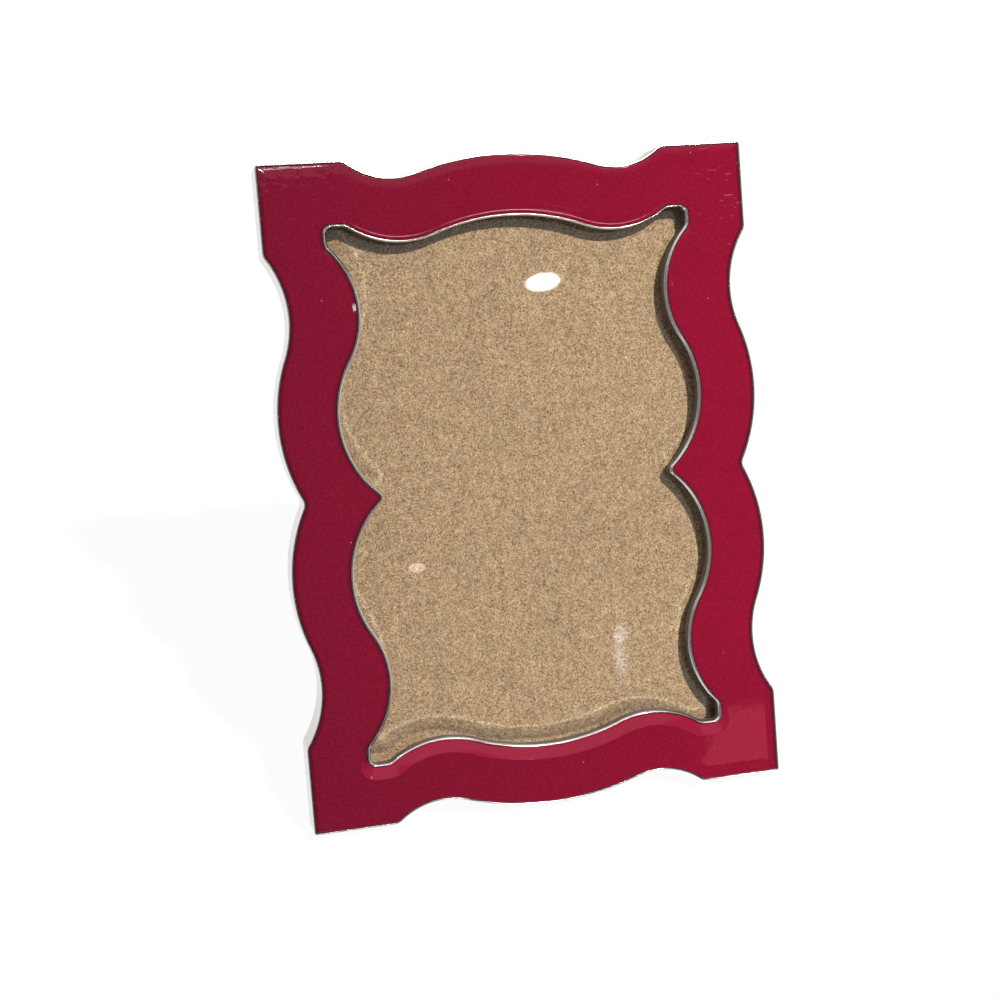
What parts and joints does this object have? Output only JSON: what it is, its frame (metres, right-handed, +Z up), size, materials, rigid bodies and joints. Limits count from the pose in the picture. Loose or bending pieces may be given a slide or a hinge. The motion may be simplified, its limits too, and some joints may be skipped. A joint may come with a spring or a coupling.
{
  "type": "picture frame",
  "caption": "Standing tabletop picture frame: scalloped plated casting inlaid with glossy crimson enamel, glass front, card filler, and a velvet-covered easel back with a hinged strut.",
  "frame": {"origin": "middle of the footprint on the table, halfway between the front lower edge of the frame and the strut's foot, at table height", "axes": "+Z up, +X to the right as seen from the front, and -Y towards the viewer: the frame faces -Y and leans back towards +Y"},
  "size_m": [0.1524, 0.1042, 0.1965],
  "materials": {
    "plating": "polished silver-coloured plating on a zinc casting",
    "enamel": "deep crimson cold enamel, glossy",
    "glass": "clear float glass",
    "cardboard": "plain brown kraft corrugated board",
    "board": "plain hardboard",
    "velvet": "short black velvet pile",
    "steel": "nickel-plated steel",
    "ribbon": "black satin ribbon"
  },
  "bodies": {
    "frame": {"frame_casting": "plating", "enamel_inlay": "enamel", "glass_pane": "glass", "cardboard_filler": "cardboard", "back_board": "board", "back_covering": "velvet", "hinge_fixed_leaf": "steel", "hinge_pin": "steel", "hinge_rivet_back_left": "steel", "hinge_rivet_back_right": "steel", "stay_ribbon": "ribbon", "button_screw_upper_right": "steel", "button_screw_upper_left": "steel", "button_screw_lower_right": "steel", "button_screw_lower_left": "steel"},
    "strut": {"strut_board": "board", "strut_covering": "velvet", "hinge_moving_leaf": "steel", "hinge_rivet_strut_left": "steel", "hinge_rivet_strut_right": "steel"},
    "button_upper_right": {"turn_button_upper_right": "steel"},
    "button_upper_left": {"turn_button_upper_left": "steel"},
    "button_lower_right": {"turn_button_lower_right": "steel"},
    "button_lower_left": {"turn_button_lower_left": "steel"}
  },
  "joints": [
    {"name": "strut_hinge", "type": "hinge", "parent": "frame", "child": "strut", "pos_m": [0, 0.01107, 0.13781], "axis": [1, 0, 0], "range_deg": [-35, 0], "deforming": ["stay_ribbon"]},
    {"name": "upper_right_button_turn", "type": "hinge", "parent": "frame", "child": "button_upper_right", "pos_m": [0.07, 0.00162, 0.11927], "axis": [0, 0.9455, -0.3256], "continuous": true},
    {"name": "upper_left_button_turn", "type": "hinge", "parent": "frame", "child": "button_upper_left", "pos_m": [-0.07, 0.00162, 0.11927], "axis": [0, 0.9455, -0.3256], "continuous": true},
    {"name": "lower_right_button_turn", "type": "hinge", "parent": "frame", "child": "button_lower_right", "pos_m": [0.07, -0.01436, 0.07286], "axis": [0, 0.9455, -0.3256], "continuous": true},
    {"name": "lower_left_button_turn", "type": "hinge", "parent": "frame", "child": "button_lower_left", "pos_m": [-0.07, -0.01436, 0.07286], "axis": [0, 0.9455, -0.3256], "continuous": true}
  ]
}
